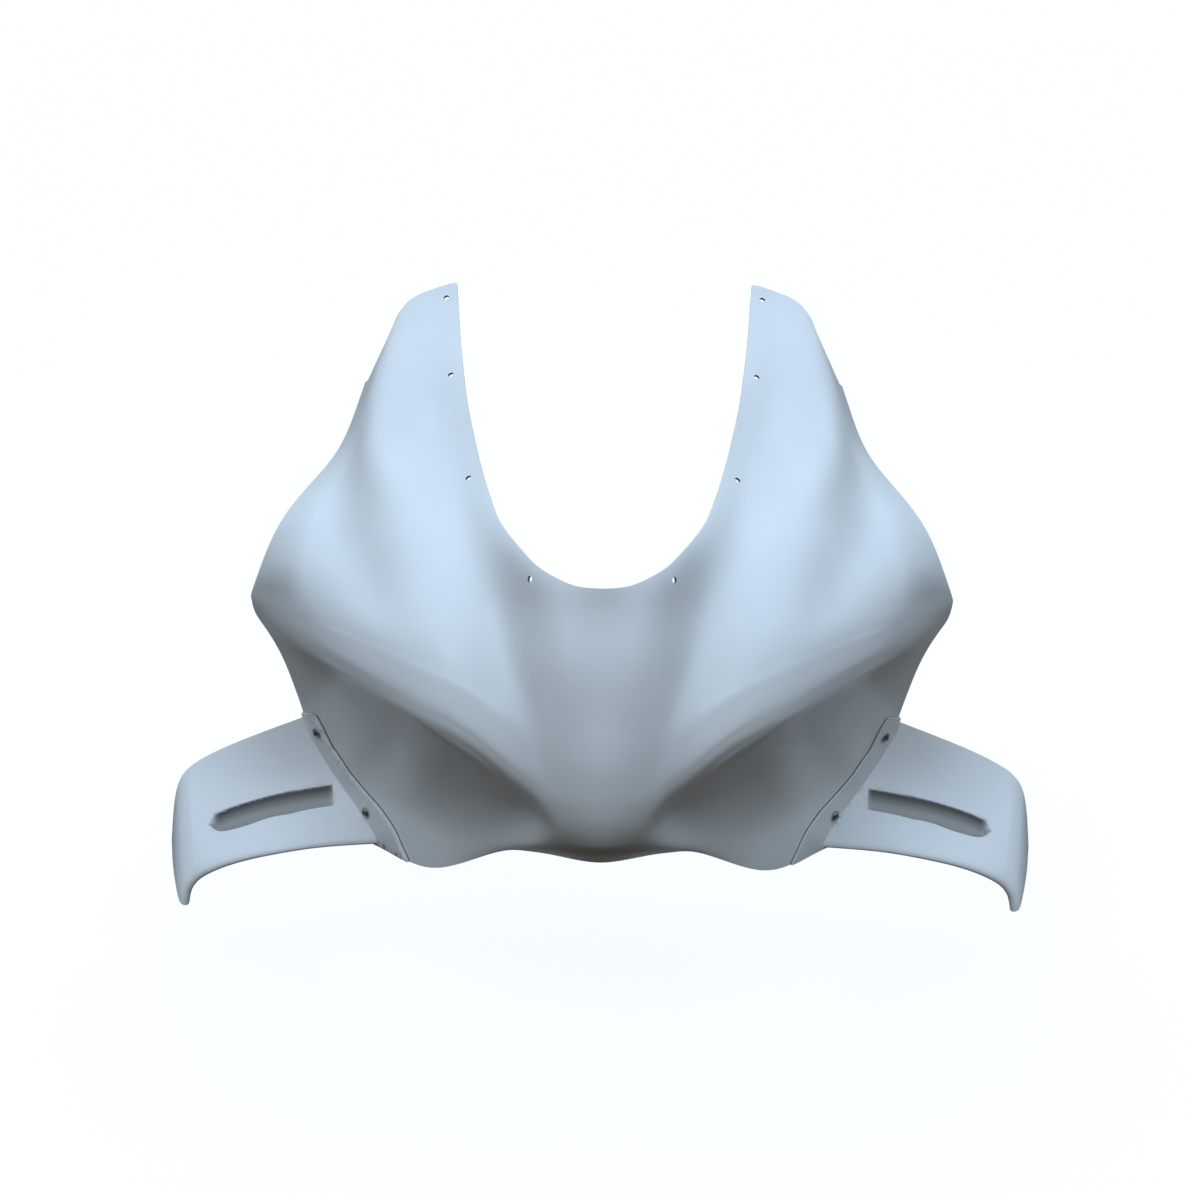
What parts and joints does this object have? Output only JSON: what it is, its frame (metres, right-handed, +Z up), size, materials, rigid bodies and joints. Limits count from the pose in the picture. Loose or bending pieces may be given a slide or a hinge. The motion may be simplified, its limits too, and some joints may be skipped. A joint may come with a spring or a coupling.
{
  "type": "motorcycle fairing",
  "caption": "Race upper fairing for a motorcycle: one white moulded nose shell with a U-shaped screen opening, and a bolted slotted winglet on each side.",
  "frame": {"origin": "centre of the whole part's bounding box", "axes": "+X to the rider's left across the fairing, -Y to the front (the nose), +Z up as mounted on the motorcycle"},
  "size_m": [0.7418, 0.3966, 0.503],
  "materials": {
    "gelcoat_white": "satin white gelcoat on fibreglass, raw laminate on the inside",
    "stainless_dark": "dark steel button heads",
    "stainless": "plain stainless steel"
  },
  "bodies": {
    "root": {"upper_shell": "gelcoat_white", "left_winglet": "gelcoat_white", "right_winglet": "gelcoat_white", "left_winglet_screws": "stainless_dark", "left_winglet_washers": "stainless", "left_winglet_nuts": "stainless", "right_winglet_screws": "stainless_dark", "right_winglet_washers": "stainless", "right_winglet_nuts": "stainless"}
  },
  "joints": []
}
